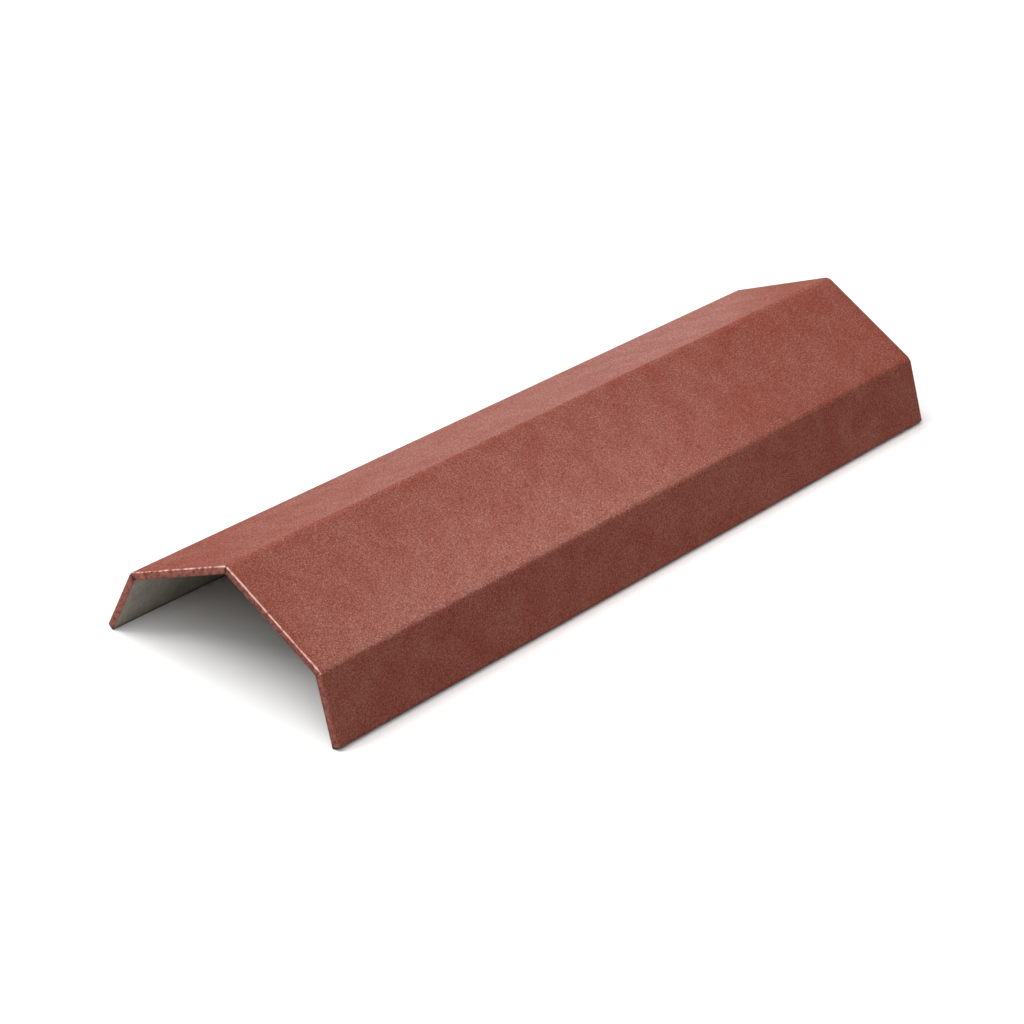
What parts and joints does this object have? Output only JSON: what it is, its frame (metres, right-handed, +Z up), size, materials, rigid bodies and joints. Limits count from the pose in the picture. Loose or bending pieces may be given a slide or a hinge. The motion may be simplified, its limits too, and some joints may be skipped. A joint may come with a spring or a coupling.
{
  "type": "roof ridge cap",
  "caption": "Angular roof ridge cap: a folded board with sloping wings and splayed side flanges, open underneath, that covers the joint along the top of a pitched roof.",
  "frame": {"origin": "middle of the footprint, on the ground under the ridge", "axes": "+Y along the length, +Z up through the ridge, +X across to the right flange"},
  "size_m": [0.1804, 0.6, 0.0789],
  "materials": {
    "coated_board": "matte"
  },
  "bodies": {
    "root": {"ridge_cap": "coated_board"}
  },
  "joints": []
}
